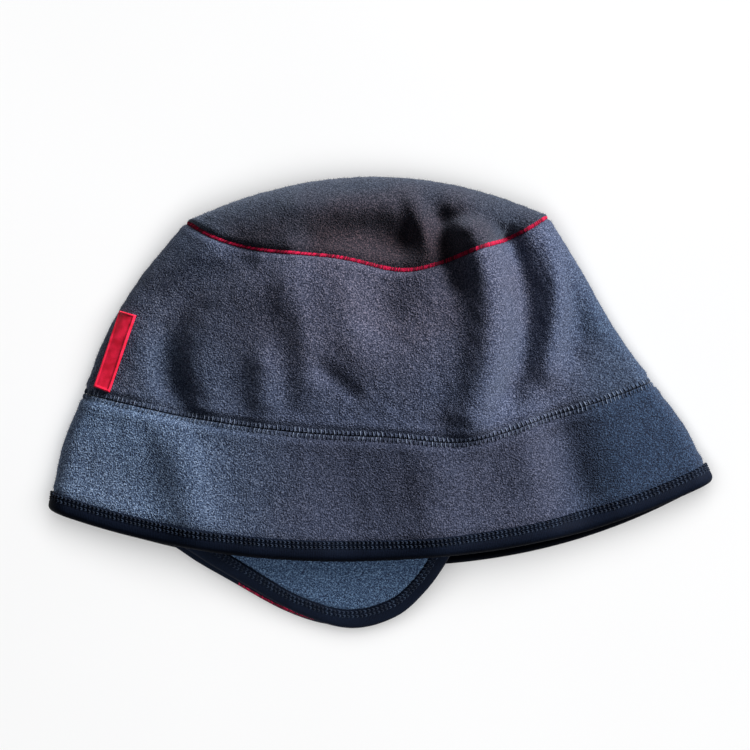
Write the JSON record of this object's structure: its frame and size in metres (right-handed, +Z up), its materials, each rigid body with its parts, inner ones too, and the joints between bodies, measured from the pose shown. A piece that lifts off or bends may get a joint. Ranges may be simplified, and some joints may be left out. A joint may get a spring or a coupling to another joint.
{
  "type": "fleece cap with ear flaps, lying flat",
  "caption": "Soft fleece cap lying on its side: narrowing crown, wide band, bound rim, and two bound ear flap lobes showing at the mouth.",
  "frame": {"origin": "centre of the outline at ground level, under the cap as it lies on its rear wall", "axes": "+X towards the wearer's forehead, +Y towards the crown, +Z up away from the ground; the mouth faces -Y"},
  "size_m": [0.2918, 0.1979, 0.0418],
  "materials": {
    "fleece": "blue-grey short pile fleece with a fine pebbled nap, matt",
    "binding": "dark navy stretch tape, cover stitched, slight sheen",
    "tab_rubber": "red moulded soft rubber, satin, bare face with a raised edge",
    "seam_thread": "dark blue-grey polyester thread of the band's cover seam",
    "red_thread": "crimson polyester thread of the crown seam and of the flap's inner seam"
  },
  "bodies": {
    "root": {"crown_tip": "fleece", "crown_side": "fleece", "band": "fleece", "rim_binding": "binding", "ear_flap_right": "fleece", "ear_flap_right_binding": "binding", "ear_flap_left": "fleece", "ear_flap_left_binding": "binding", "side_label": "tab_rubber"}
  },
  "joints": []
}
